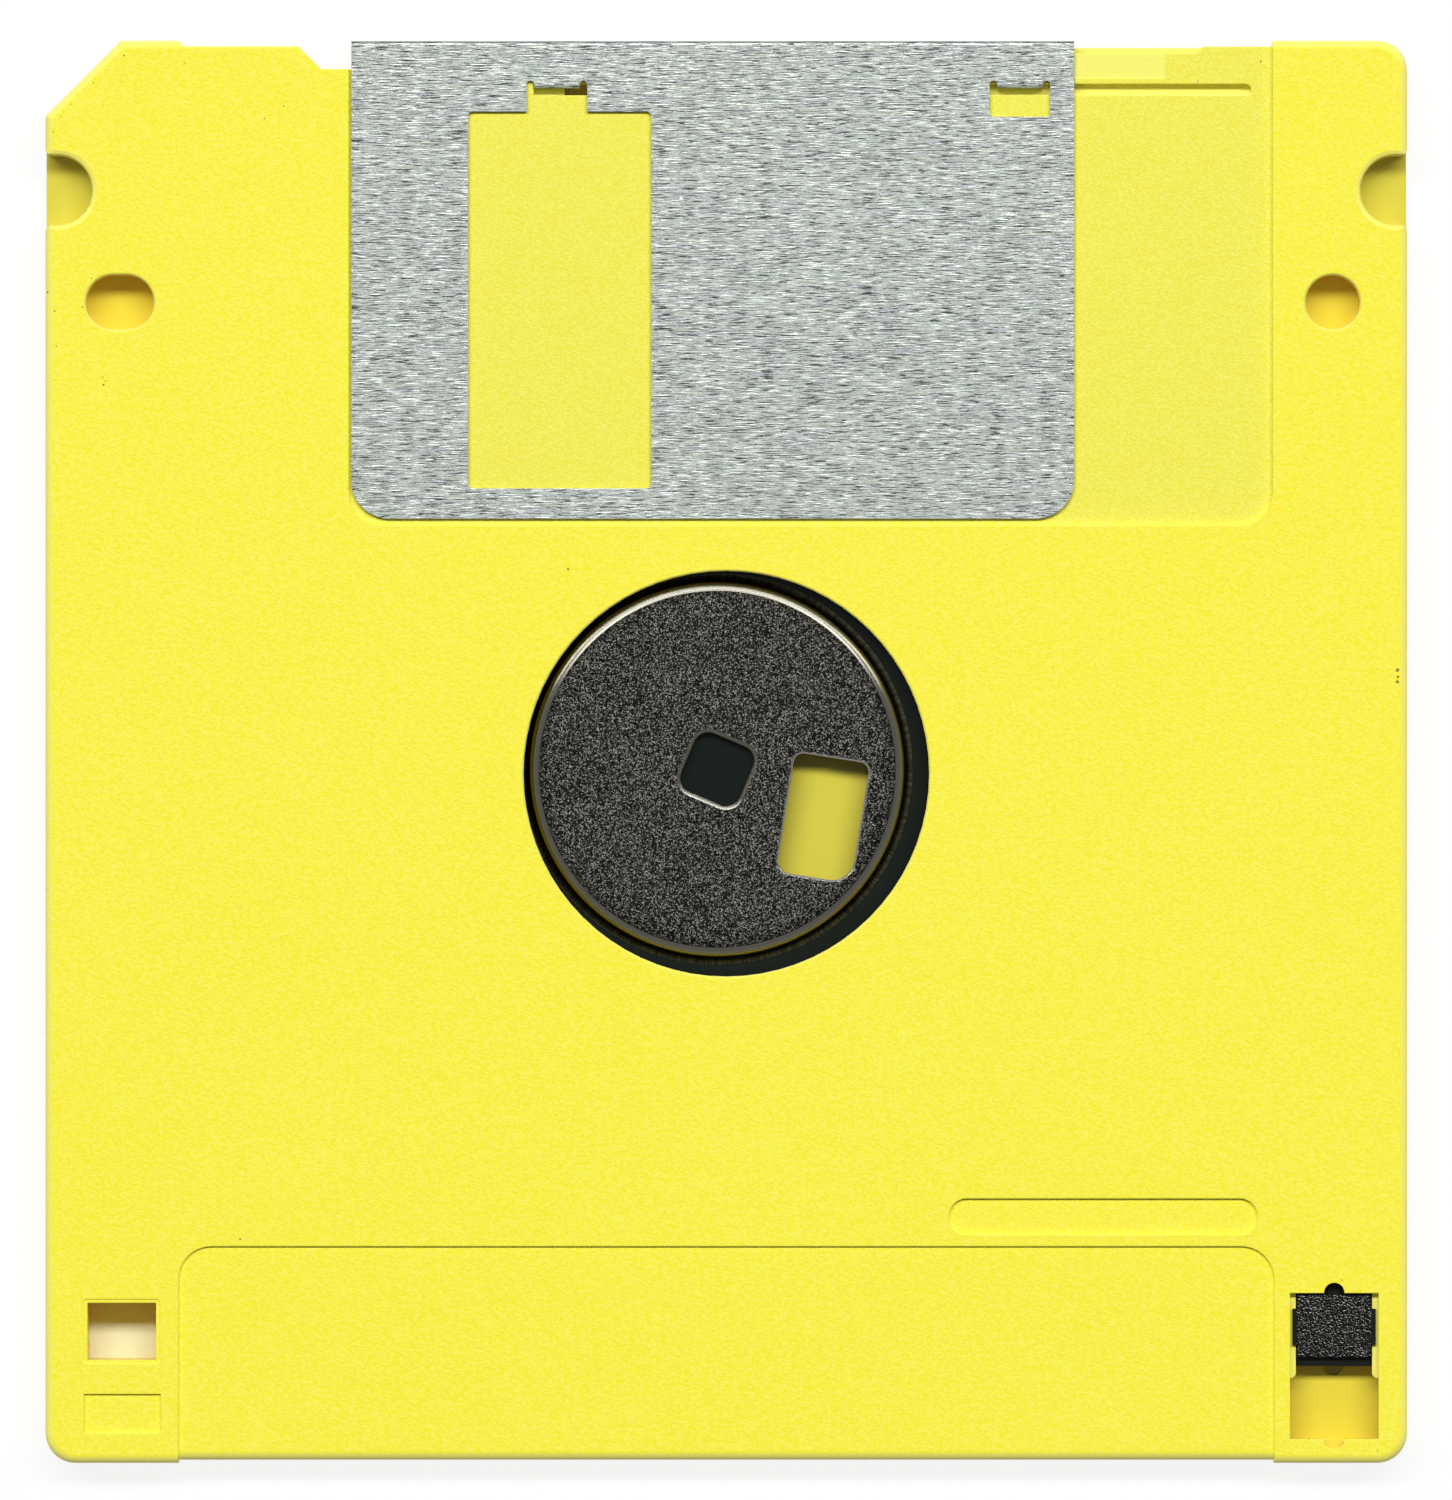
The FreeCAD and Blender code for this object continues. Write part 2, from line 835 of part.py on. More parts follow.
def tab_windows():
    # Openings that the tabs were cut from, with round reliefs beside each bend
    cutters = []
    for x in (tab_left_x, tab_right_x):
        left = x - 2 * tab_relief
        right = x + tab_width + 2 * tab_relief
        lower = tab_edge - tab_window_height
        outline = rectangle(left, right, lower, tab_edge)
        corner = tab_window_corner if x == tab_right_x else 0
        cutters.append(prism(outline, middle, case_thickness + beyond, (corner, corner, 0, 0)))
        for relief_x in (left + tab_relief, right - tab_relief):
            relief = post(relief_x, tab_edge, tab_relief, middle, case_thickness + beyond)
            cutters.append(relief)
    return cutters


def guide_tab(x):
    # Tongue bent down out of the back plate into the groove
    outer = shutter_bend + shutter_sheet
    turn_z = back_plate_top - outer
    turn_y = tab_edge
    diagonal = math.sqrt(0.5)
    seat = turn_y + shutter_sheet
    outline = [
        (vector(x, seat, back_plate_top), vector(x, turn_y, back_plate_top)),
        (
            vector(x, turn_y, back_plate_top),
            vector(x, turn_y - outer * diagonal, turn_z + outer * diagonal),
            vector(x, turn_y - outer, turn_z),
        ),
        (vector(x, turn_y - outer, turn_z), vector(x, turn_y - outer, tab_bottom)),
        (vector(x, turn_y - outer, tab_bottom), vector(x, turn_y - shutter_bend, tab_bottom)),
        (vector(x, turn_y - shutter_bend, tab_bottom), vector(x, turn_y - shutter_bend, turn_z)),
        (
            vector(x, turn_y - shutter_bend, turn_z),
            vector(x, turn_y - shutter_bend * diagonal, turn_z + shutter_bend * diagonal),
            vector(x, turn_y, back_plate_under),
        ),
        (vector(x, turn_y, back_plate_under), vector(x, seat, back_plate_under)),
        (vector(x, seat, back_plate_under), vector(x, seat, back_plate_top)),
    ]
    return profile_face(outline).extrude(vector(tab_width, 0))


def spring_lug():
    # Tongue bent in at the fold's right end, which the spring pushes on
    low = front_inside + lug_floor_gap
    return box(
        shutter_right - shutter_sheet,
        shutter_right,
        shutter_top - shutter_sheet - lug_depth,
        shutter_top,
        low,
        low + lug_height,
    )


def make_shutter_spring():
    # Torsion spring: two straight legs and a coil between them
    coil, free, fixed = spring_frame()
    radius = spring_coil_radius
    low = front_inside + spring_floor_gap + spring_wire / 2
    to_free = free.sub(coil)
    to_fixed = fixed.sub(coil)
    free_leg = math.sqrt(to_free.Length ** 2 - radius ** 2)
    fixed_leg = math.sqrt(to_fixed.Length ** 2 - radius ** 2)
    start = math.atan2(to_free.y, to_free.x) + math.atan2(free_leg, radius)
    end = math.atan2(to_fixed.y, to_fixed.x) - math.atan2(fixed_leg, radius)
    turns = (end - start) / (2 * math.pi) + spring_turns
    stretches = round(turns * coil_stretches)
    coil_points = []
    for step in range(2 * stretches + 1):
        share = step / (2 * stretches)
        angle = start + 2 * math.pi * turns * share
        height = low + turns * spring_pitch * share
        around = vector(math.cos(angle), math.sin(angle)) * radius
        coil_points.append(vector(coil.x + around.x, coil.y + around.y, height))
    tip = vector(free.x, free.y, low)
    edges = [Part.LineSegment(tip, coil_points[0]).toShape()]
    for first in range(0, 2 * stretches, 2):
        edges.append(Part.Arc(*coil_points[first:first + 3]).toShape())
    tail = vector(fixed.x, fixed.y, coil_points[-1].z)
    edges.append(Part.LineSegment(coil_points[-1], tail).toShape())
    section = Part.Circle(tip, coil_points[0].sub(tip), spring_wire / 2).toShape()
    return Part.Wire(edges).makePipe(Part.Face(Part.Wire(section)))


def ring(x, y, outer_diameter, inner_diameter, z_from, z_to):
    whole = post(x, y, outer_diameter / 2, z_from, z_to)
    return whole.cut(post(x, y, inner_diameter / 2, z_from - beyond, z_to + beyond))


def bend_radius():
    # Radius where the hub's flange starts, outside the bend below the cup
    return hub_diameter / 2 + hub_flange_bend


def flange_top():
    return middle - disc_thickness / 2 - adhesive_thickness


def make_media_disc():
    hole = 2 * (bend_radius() + hub_bend_gap)
    low = middle - disc_thickness / 2
    return ring(hub_x, hub_y, disc_diameter, hole, low, low + disc_thickness)


def make_adhesive_ring():
    inner = 2 * (bend_radius() + adhesive_margin)
    outer = flange_diameter - 2 * adhesive_margin
    return ring(hub_x, hub_y, outer, inner, flange_top(), middle - disc_thickness / 2)


def make_hub():
    # Drawn cup turned about the disc's axis, then punched with its two holes
    cup = hub_diameter / 2
    face = case_thickness - hub_sink
    flange = flange_top()
    rim = flange_diameter / 2
    edge = hub_edge_radius
    bend = hub_flange_bend
    turn_x = cup + bend
    turn_z = flange + bend
    shoulder_x = cup - edge
    shoulder_z = face - hub_rim_fall - edge
    flat_x = shoulder_x - hub_rim_fall_width
    outside_bend = quarter(turn_x, turn_z, bend, 270, bend_flat_count)
    inside_bend = quarter(turn_x, turn_z, bend + hub_sheet, 270, bend_flat_count)
    inside_edge = quarter(shoulder_x, shoulder_z, edge - hub_sheet, 90, bend_flat_count)
    points = [vector(0, 0, face), vector(flat_x, 0, face)]
    points += quarter(shoulder_x, shoulder_z, edge, 90, rim_flat_count)
    points += outside_bend[::-1]
    points += [vector(rim, 0, flange), vector(rim, 0, flange - hub_sheet)]
    points += inside_bend
    points += inside_edge[::-1]
    points += [vector(flat_x, 0, face - hub_sheet), vector(0, 0, face - hub_sheet)]
    hub = section_face(points).revolve(vector(0, 0), vector(0, 0, 1), 360)
    hub.translate(vector(hub_x, hub_y))
    return hub.cut([spindle_hole(), drive_hole()])


def spindle_hole():
    half = spindle_hole_side / 2
    outline = rectangle(-half, half, -half, half)
    hole = prism(outline, 0, case_thickness, (spindle_hole_corner,) * 4)
    return turned(hole, hub_x, hub_y, spindle_hole_turn)


def drive_hole():
    half_width = drive_hole_width / 2
    half_length = drive_hole_length / 2
    outline = rectangle(-half_width, half_width, -half_length, half_length)
    hole = prism(outline, 0, case_thickness, drive_hole_corners)
    return turned(hole, hub_x + drive_hole_x, hub_y + drive_hole_y, drive_hole_turn)


def make_liner(z_from):
    # Soft fabric ring glued inside a shell, with a slot at the head window
    z_to = z_from + liner_thickness
    liner = ring(0, centre_y, liner_diameter, liner_hole_diameter, z_from, z_to)
    half = liner_slot_width / 2
    slot_from = head_bottom - window_margin_y
    return liner.cut(box(-half, half, slot_from, top, z_from - beyond, z_to + beyond))


def make_wear_button():
    face = case_thickness - hub_sink - hub_sheet - button_gap
    button = post(0, centre_y, button_diameter / 2, front_inside, face)
    upper = [edge for edge in button.Edges if abs(edge.CenterOfMass.z - face) < same_place]
    return button.makeChamfer(button_edge, upper)


def lifter_span():
    left = lifter_from_liner_edge - liner_diameter / 2
    half = lifter_width / 2
    return left, left + lifter_length, centre_y - half, centre_y + half


def lifter_pocket():
    left, right, low, high = lifter_span()
    gap = lifter_side_gap
    floor = front_inside - lifter_pocket_depth
    return box(left - gap, right + gap, low - gap, high + gap, floor, front_inside)


def make_lifter():
    # Leaf fixed flat along its left end, its free end bent up to the liner
    left, right, low, high = lifter_span()
    floor = front_inside - lifter_pocket_depth
    tip = front_inside - lifter_gap - lifter_sheet
    bend = right - lifter_bent_length
    outline = [
        vector(left, low, floor),
        vector(bend, low, floor),
        vector(right, low, tip),
        vector(right, low, tip + lifter_sheet),
        vector(bend, low, floor + lifter_sheet),
        vector(left, low, floor + lifter_sheet),
    ]
    return section_face(outline).extrude(vector(0, lifter_width))


def make_write_protect_tab():
    # Slider: wide base under the back plate, gripped face in the slot, ears and nub
    base_bottom = front_inside + protect_base_gap
    base_top = back_inside - protect_base_gap
    face = case_thickness - protect_face_sink
    half = protect_face_width / 2
    base_end = slot_top + protect_base_cover
    base = box(slot_x - base_half, slot_x + base_half, step_bottom, base_end, base_bottom, base_top)
    block = box(slot_x - half, slot_x + half, face_bottom, face_top, base_bottom, face)
    step_top = face - protect_step_height
    step = box(slot_x - half, slot_x + half, step_bottom, face_top, base_bottom, step_top)
    ear_half = half + protect_ear_reach
    ear_top = face_top - protect_ear_start
    ear_low = face - protect_ear_thickness
    ears = box(
        slot_x - ear_half,
        slot_x + ear_half,
        ear_top - protect_ear_length,
        ear_top,
        ear_low,
        face,
    )
    nub = post(slot_x, slot_top + protect_nub_reach, protect_nub_radius, base_bottom, step_top)
    return base.fuse([block, step, ears, nub]).removeSplitter()


parts = {
    "front_shell": make_front_shell(),
    "back_shell": make_back_shell(),
    "shutter": make_shutter(),
    "shutter_spring": make_shutter_spring(),
    "media_disc": make_media_disc(),
    "hub": make_hub(),
    "hub_adhesive_ring": make_adhesive_ring(),
    "front_liner": make_liner(front_inside),
    "back_liner": make_liner(back_inside - liner_thickness),
    "lifter": make_lifter(),
    "wear_button": make_wear_button(),
    "write_protect_tab": make_write_protect_tab(),
}

os.makedirs("parts", exist_ok=True)
for name, shape in parts.items():
    shape.exportStep(f"parts/{name}.step")
    print(name, "valid", shape.isValid(), "solids", len(shape.Solids), "volume", round(shape.Volume, 2))
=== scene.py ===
import math

import bpy
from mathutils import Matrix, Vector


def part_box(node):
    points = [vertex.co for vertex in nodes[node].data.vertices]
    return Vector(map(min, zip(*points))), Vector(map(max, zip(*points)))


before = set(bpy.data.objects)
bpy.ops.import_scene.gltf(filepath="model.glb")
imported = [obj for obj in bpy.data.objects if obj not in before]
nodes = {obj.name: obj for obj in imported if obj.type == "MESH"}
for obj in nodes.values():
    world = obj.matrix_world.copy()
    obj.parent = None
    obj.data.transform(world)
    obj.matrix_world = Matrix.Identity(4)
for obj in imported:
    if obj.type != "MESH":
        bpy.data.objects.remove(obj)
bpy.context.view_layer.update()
print("stage 1: frame loaded with", len(nodes), "pieces")


# Small helpers for building materials

def srgb(colour):
    # 0 to 255 as a scan gives it, turned into the linear values that shaders take
    linear = []
    for value in colour:
        share = value / 255
        linear.append(share / 12.92 if share <= 0.04045 else ((share + 0.055) / 1.055) ** 2.4)
    return (*linear, 1.0)


def feed(tree, node, inputs):
    for name, value in inputs.items():
        if isinstance(value, bpy.types.NodeSocket):
            tree.links.new(value, node.inputs[name])
        else:
            node.inputs[name].default_value = value


def addNode(tree, kind, inputs=None, **settings):
    node = tree.nodes.new(kind)
    for name, value in settings.items():
        setattr(node, name, value)
    feed(tree, node, inputs or {})
    return node


def maths(tree, operation, first, second=0.0, third=0.0):
    inputs = {0: first, 1: second, 2: third}
    return addNode(tree, "ShaderNodeMath", inputs, operation=operation).outputs[0]


def product(tree, first, *others):
    for other in others:
        first = maths(tree, "MULTIPLY", first, other)
    return first


def largest(tree, first, *others):
    for other in others:
        first = maths(tree, "MAXIMUM", first, other)
    return first


def clamped(tree, value, low, high):
    return maths(tree, "MINIMUM", maths(tree, "MAXIMUM", value, low), high)


def ramp(tree, value, start, end, low=0.0, high=1.0):
    # goes softly from low at start to high at end; dictionaries give these four, or the first two
    inputs = {"Value": value, "From Min": start, "From Max": end, "To Min": low, "To Max": high}
    node = addNode(tree, "ShaderNodeMapRange", inputs, interpolation_type="SMOOTHSTEP")
    return node.outputs["Result"]


def band(tree, value, low, high, softness):
    # 1 between low and high, fading just inside them
    rising = ramp(tree, value, low, low + softness)
    return product(tree, rising, ramp(tree, value, high, high - softness))


def vectorMaths(tree, operation, first, second=(0.0, 0.0, 0.0), output="Vector"):
    inputs = {0: first, 1: second}
    return addNode(tree, "ShaderNodeVectorMath", inputs, operation=operation).outputs[output]


def scaled(tree, vector, factor):
    inputs = {0: vector, "Scale": factor}
    return addNode(tree, "ShaderNodeVectorMath", inputs, operation="SCALE").outputs["Vector"]


def splitUp(tree, vector):
    node = addNode(tree, "ShaderNodeSeparateXYZ", {"Vector": vector})
    return node.outputs["X"], node.outputs["Y"], node.outputs["Z"]


def joinUp(tree, x, y, z=0.0):
    return addNode(tree, "ShaderNodeCombineXYZ", {"X": x, "Y": y, "Z": z}).outputs["Vector"]


def flattened(tree, place):
    return vectorMaths(tree, "MULTIPLY", place, (1.0, 1.0, 0.0))


def turned(tree, x, y, degrees):
    # x and y along axes that are turned about Z
    cosine, sine = math.cos(math.radians(degrees)), math.sin(math.radians(degrees))
    along = maths(tree, "MULTIPLY_ADD", x, cosine, maths(tree, "MULTIPLY", y, sine))
    across = maths(tree, "MULTIPLY_ADD", y, cosine, maths(tree, "MULTIPLY", x, -sine))
    return along, across


def placeInMm(tree):
    return scaled(tree, addNode(tree, "ShaderNodeTexCoord").outputs["Object"], 1000.0)


def fromPiece(tree, place, name):
    # place in mm from the middle of a piece's top, and how far that is from the axis through it
    low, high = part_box(name)
    middle = ((low.x + high.x) * 500, (low.y + high.y) * 500, high.z * 1000)
    x, y, z = splitUp(tree, vectorMaths(tree, "SUBTRACT", place, middle))
    distance = vectorMaths(tree, "LENGTH", joinUp(tree, x, y), output="Value")
    return x, y, z, distance


def facingUp(tree):
    # 1 where the surface faces straight up or down, 0 where it stands upright
    normal = addNode(tree, "ShaderNodeTexCoord").outputs["Normal"]
    return maths(tree, "ABSOLUTE", splitUp(tree, normal)[2])


def mixColour(tree, share, first, second):
    # each colour is a socket, or three values as a scan gives them
    first, second = (srgb(side) if isinstance(side, tuple) else side for side in (first, second))
    inputs = {0: share, 6: first, 7: second}
    return addNode(tree, "ShaderNodeMix", inputs, data_type="RGBA").outputs[2]


def noise(tree, place, detail=1.0, scale=1.0):
    inputs = {"Vector": place, "Scale": scale, "Detail": detail}
    return addNode(tree, "ShaderNodeTexNoise", inputs).outputs["Fac"]


def rings(tree, distance, width, detail):
    # marks of turning, fading in and out about every width mm
    return noise(tree, joinUp(tree, maths(tree, "DIVIDE", distance, width), 0.0), detail)


def bumped(tree, height, depth, normal=None):
    inputs = {"Height": height, "Distance": depth}
    if normal is not None:
        inputs["Normal"] = normal
    return addNode(tree, "ShaderNodeBump", inputs).outputs["Normal"]


def newGroup(name, inputs, outputs):
    tree = bpy.data.node_groups.new(name, "ShaderNodeTree")
    kinds = {float: "NodeSocketFloat", tuple: "NodeSocketVector"}
    for label, value in inputs.items():
        kind = kinds[type(value)]
        socket = tree.interface.new_socket(name=label, in_out="INPUT", socket_type=kind)
        socket.default_value = value
    for label, kind in outputs.items():
        tree.interface.new_socket(name=label, in_out="OUTPUT", socket_type=kinds[kind])
    given = addNode(tree, "NodeGroupInput").outputs
    result = addNode(tree, "NodeGroupOutput")
    return tree, given, result


def useGroup(tree, group, inputs=None):
    return addNode(tree, "ShaderNodeGroup", inputs, node_tree=group).outputs


def newMaterial(name, settings):
    # values that are the same all over the surface are set on the shader itself
    material = bpy.data.materials.new(name)
    material.use_nodes = True
    tree = material.node_tree
    shader = tree.nodes["Principled BSDF"]
    feed(tree, shader, settings)
    return material, tree, shader


def paint(material, *names):
    for name in names:
        for slot in nodes[name].material_slots:
            slot.material = material


# Effects that several materials share
# Sizes and places are in mm, but a bump's depth and an edge's radius in metres, as their nodes ask

sharedEffects = {
    "bevelSamples": 6,
    "edgeLikeness": (0.998, 0.9),
    "levelUp": (0.9, 0.99),
    "mottleDetail": 1.5,
    "bendScale": 0.45,
    "spotRim": (1.1, 0.7),
}


def makeSoftEdge(values):
    # a small round on sharp edges, worn as far as Share says, and where such an edge runs
    inputs = {"Radius": 0.0001, "Share": 1.0}
    tree, given, result = newGroup("softEdge", inputs, {"Normal": tuple, "Edge": float})
    samples = values["bevelSamples"]
    bevel = addNode(tree, "ShaderNodeBevel", {"Radius": given["Radius"]}, samples=samples)
    bevel = bevel.outputs["Normal"]
    plain = addNode(tree, "ShaderNodeNewGeometry").outputs["Normal"]
    likeness = vectorMaths(tree, "DOT_PRODUCT", bevel, plain, "Value")
    inputs = {0: given["Share"], 4: plain, 5: bevel}
    mixed = addNode(tree, "ShaderNodeMix", inputs, data_type="VECTOR").outputs[1]
    rounded = vectorMaths(tree, "NORMALIZE", mixed)
    edge = ramp(tree, likeness, *values["edgeLikeness"])
    feed(tree, result, {"Normal": rounded, "Edge": edge})
    return tree


def makeLevel(values):
    # 1 where the surface lies flat
    tree, given, result = newGroup("level", {}, {"Mask": float})
    feed(tree, result, {"Mask": ramp(tree, facingUp(tree), *values["levelUp"])})
    return tree


def makeMottle(values):
    # soft uneven patches, Size mm along each axis, turned about Z by Turn degrees
    inputs = {"Place": (0.0, 0.0, 0.0), "Size": (0.3, 0.3, 0.3), "Turn": 0.0, "Contrast": 1.0}
    tree, given, result = newGroup("mottle", inputs, {"Tone": float})
    turn = joinUp(tree, 0.0, 0.0, maths(tree, "RADIANS", given["Turn"]))
    inputs = {"Vector": given["Place"], "Rotation": turn, "Scale": given["Size"]}
    stretched = addNode(tree, "ShaderNodeMapping", inputs, vector_type="TEXTURE").outputs["Vector"]
    centred = maths(tree, "SUBTRACT", noise(tree, stretched, values["mottleDetail"]), 0.5)
    tone = maths(tree, "MULTIPLY_ADD", centred, given["Contrast"], 0.5)
    feed(tree, result, {"Tone": tone})
    return tree


def makeStreaks(values):
    # brush marks, Length mm along the first axis of Place and Width mm across it
    inputs = {"Place": (0.0, 0.0, 0.0), "Length": 2.0, "Width": 0.08, "Wave": 0.1}
    tree, given, result = newGroup("streaks", inputs, {"Tone": float})
    x, y, z = splitUp(tree, given["Place"])
    bend = noise(tree, given["Place"], scale=values["bendScale"])
    wavy = maths(tree, "MULTIPLY_ADD", maths(tree, "SUBTRACT", bend, 0.5), given["Wave"], y)
    along = maths(tree, "DIVIDE", x, given["Length"])
    across = maths(tree, "DIVIDE", wavy, given["Width"])
    down = maths(tree, "DIVIDE", z, given["Width"])
    feed(tree, result, {"Tone": noise(tree, joinUp(tree, along, across, down))})
    return tree


def makeSpot(values):
    # 1 in a small mark at Centre, reaching Reach mm out, as ragged as Place is
    inputs = {"Place": (0.0, 0.0, 0.0), "Centre": (0.0, 0.0, 0.0), "Reach": 0.08}
    tree, given, result = newGroup("spot", inputs, {"Mask": float})
    away = vectorMaths(tree, "DISTANCE", given["Place"], given["Centre"], "Value")
    away = maths(tree, "DIVIDE", away, given["Reach"])
    feed(tree, result, {"Mask": ramp(tree, away, *values["spotRim"])})
    return tree


softEdge = makeSoftEdge(sharedEffects)
level = makeLevel(sharedEffects)
mottle = makeMottle(sharedEffects)
streaks = makeStreaks(sharedEffects)
spot = makeSpot(sharedEffects)


def toneOf(tree, group, place, inputs):
    return useGroup(tree, group, {"Place": place, **inputs})["Tone"]


def markAt(tree, place, x, y, reach):
    return useGroup(tree, spot, {"Place": place, "Centre": (x, y, 0.0), "Reach": reach})["Mask"]


# Case: yellow plastic, spark-eroded on its faces and smooth in its hollows
# Heights and places are measured from the part's origin

casePlastic = {
    "shader": {"Specular IOR Level": 0.18},
    "deeper": (246, 235, 46),
    "paler": (251, 243, 92),
    "recessDeeper": (236, 229, 68),
    "recessPaler": (244, 238, 102),
    # hollow, wall and inside are painted warm shade; rounded is painted light that comes through
    # thin plastic
    "hollow": (228, 211, 64),
    "wall": (239, 203, 26),
    "inside": (216, 205, 72),
    "rounded": (248, 241, 114),
    "polished": (246, 243, 113),
    "speck": (150, 126, 48),
    "grain": {"Size": (0.2, 0.13, 0.2), "Turn": -18.0, "Contrast": 3.8},
    "depth": 0.000005,
    "drift": {"Size": (11.0, 8.0, 9.0), "Contrast": 2.0},
    "driftShare": 0.12,
    "edge": {"Radius": 0.00018, "Share": 0.45},
    "roughness": (0.0, 1.0, 0.26, 0.45),
    "topHeight": (2.86, 2.88),
    "bottomHeight": (0.44, 0.42),
    "recessHeight": (3.0, 2.98),
    "glowThroughHeight": (2.6, 2.7),
    "thinRim": {"y": (40.0, 40.1), "z": (1.9, 2.0)},
    "outline": {"side": 44.3, "top": 44.7, "bottom": 46.2, "corner": 86.1},
    "outlineFade": 0.3,
    "insideHeight": (2.2, 2.1),
    "insideReach": 15.0,
    "notch": {"side": 41.0, "low": 34.3, "high": 39.7},
    "polishedPatch": (  # low, high and softness along each axis
        (17.9, 37.9, 0.02),
        (44.0, 47.5, 0.02),
        (2.88, 2.92, 0.01),
    ),
    "speckHeight": (2.8, 2.9),
    "speckRaggedness": 0.09,
    "raggedScale": 9.0,
    "specks": (  # x, y and reach
        (-44.84, 30.37, 0.07), (-44.38, 29.11, 0.07), (-42.53, 29.38, 0.06), (-44.24, 26.80, 0.06),
        (-41.93, 31.29, 0.05), (-44.44, 40.94, 0.05), (-32.10, -32.18, 0.07), (-10.45, 12.07, 0.08),
        (38.46, -45.39, 0.06), (-39.78, 46.0, 0.06), (-35.77, 45.5, 0.05), (-29.24, 42.66, 0.05),
        (-30.5, 41.83, 0.05), (-43.95, 41.96, 0.05), (-41.8, 44.2, 0.05), (-43.3, 42.76, 0.05),
        (35.31, 45.61, 0.07), (31.17, 44.32, 0.05), (35.52, 10.37, 0.05), (37.3, -39.7, 0.05),
        (40.66, -34.9, 0.05), (43.01, -46.18, 0.05), (44.34, 5.4, 0.13), (44.36, 4.95, 0.10),
        (44.32, 4.62, 0.12), (-41.14, 24.23, 0.07), (-41.0, 24.5, 0.05), (-41.2, 24.75, 0.05),
    ),
}


def findShadedInside(tree, place, values):
    # 1 low down, under the hub's opening and in the finger notches, where painted shade goes
    x, y, z = splitUp(tree, place)
    underHub = maths(tree, "LESS_THAN", fromPiece(tree, place, "hub")[3], values["insideReach"])
    notch = values["notch"]
    inNotch = product(
        tree,
        maths(tree, "GREATER_THAN", y, notch["low"]),
        maths(tree, "LESS_THAN", y, notch["high"]),
        maths(tree, "GREATER_THAN", maths(tree, "ABSOLUTE", x), notch["side"]),
    )
    return product(tree, largest(tree, underHub, inNotch), ramp(tree, z, *values["insideHeight"]))


def findOutline(tree, place, values):
    # 1 on the case's outer sides, with the cut corner
    x, y, z = splitUp(tree, place)
    reaches = {
        "side": maths(tree, "ABSOLUTE", x),
        "top": y,
        "bottom": maths(tree, "MULTIPLY", y, -1.0),
        "corner": maths(tree, "SUBTRACT", y, x),
    }
    sides = []
    for name, start in values["outline"].items():
        sides.append(ramp(tree, reaches[name], start, start + values["outlineFade"]))
    return largest(tree, *sides)


def smoothColour(tree, place, flat, values):
    # painted shade: hollows and walls are deeper and warmer; painted light: edges that light comes
    # through are paler
    x, y, z = splitUp(tree, place)
    rim = values["thinRim"]
    thin = product(tree, ramp(tree, y, *rim["y"]), ramp(tree, z, *rim["z"]))
    glowThrough = largest(tree, ramp(tree, z, *values["glowThroughHeight"]), thin)
    colour = mixColour(tree, flat, values["wall"], values["hollow"])
    colour = mixColour(tree, glowThrough, colour, values["rounded"])
    colour = mixColour(tree, findOutline(tree, place, values), colour, values["rounded"])
    return mixColour(tree, findShadedInside(tree, place, values), colour, values["inside"])


def findSpecks(tree, place, values):
    # specks lie on the upper face, and the noise makes each ragged in its own way
    inputs = {"Vector": place, "Scale": values["raggedScale"], "Detail": 1.0}
    stir = addNode(tree, "ShaderNodeTexNoise", inputs).outputs["Color"]
    stir = vectorMaths(tree, "SUBTRACT", stir, (0.5, 0.5, 0.5))
    stir = scaled(tree, stir, values["speckRaggedness"])
    ragged = flattened(tree, vectorMaths(tree, "ADD", place, stir))
    marks = [markAt(tree, ragged, *speck) for speck in values["specks"]]
    onTop = ramp(tree, splitUp(tree, place)[2], *values["speckHeight"])
    return product(tree, largest(tree, *marks), onTop)


def makeCasePlastic(values):
    material, tree, shader = newMaterial("casePlastic", values["shader"])
    place = placeInMm(tree)
    x, y, z = splitUp(tree, place)

    # where the faces are eroded, where they lie a little deeper, and the polished patch
    flat = useGroup(tree, level)["Mask"]
    top = ramp(tree, z, *values["topHeight"])
    bottom = ramp(tree, z, *values["bottomHeight"])
    textured = product(tree, flat, largest(tree, top, bottom))
    recessed = product(tree, textured, ramp(tree, z, *values["recessHeight"]))
    sides = zip((x, y, z), values["polishedPatch"])
    patch = product(tree, *[band(tree, along, *limits) for along, limits in sides])

    # grain, with a wide drift through it, then what is smooth, deeper, polished or marked
    grain = toneOf(tree, mottle, place, values["grain"])
    drift = toneOf(tree, mottle, place, values["drift"])
    colour = mixColour(tree, grain, values["deeper"], values["paler"])
    washed = mixColour(tree, drift, values["deeper"], values["paler"])
    colour = mixColour(tree, values["driftShare"], colour, washed)
    colour = mixColour(tree, textured, smoothColour(tree, place, flat, values), colour)
    recess = mixColour(tree, grain, values["recessDeeper"], values["recessPaler"])
    colour = mixColour(tree, recessed, colour, recess)
    colour = mixColour(tree, patch, colour, values["polished"])
    colour = mixColour(tree, findSpecks(tree, place, values), colour, values["speck"])

    edge = useGroup(tree, softEdge, values["edge"])
    normal = bumped(tree, product(tree, grain, textured), values["depth"], edge["Normal"])
    roughness = ramp(tree, textured, *values["roughness"])
    feed(tree, shader, {"Base Color": colour, "Roughness": roughness, "Normal": normal})
    return material


paint(makeCasePlastic(casePlastic), "front_shell", "back_shell")
print("stage 2: case plastic made")


# Shutter: thin steel sheet, brushed along X

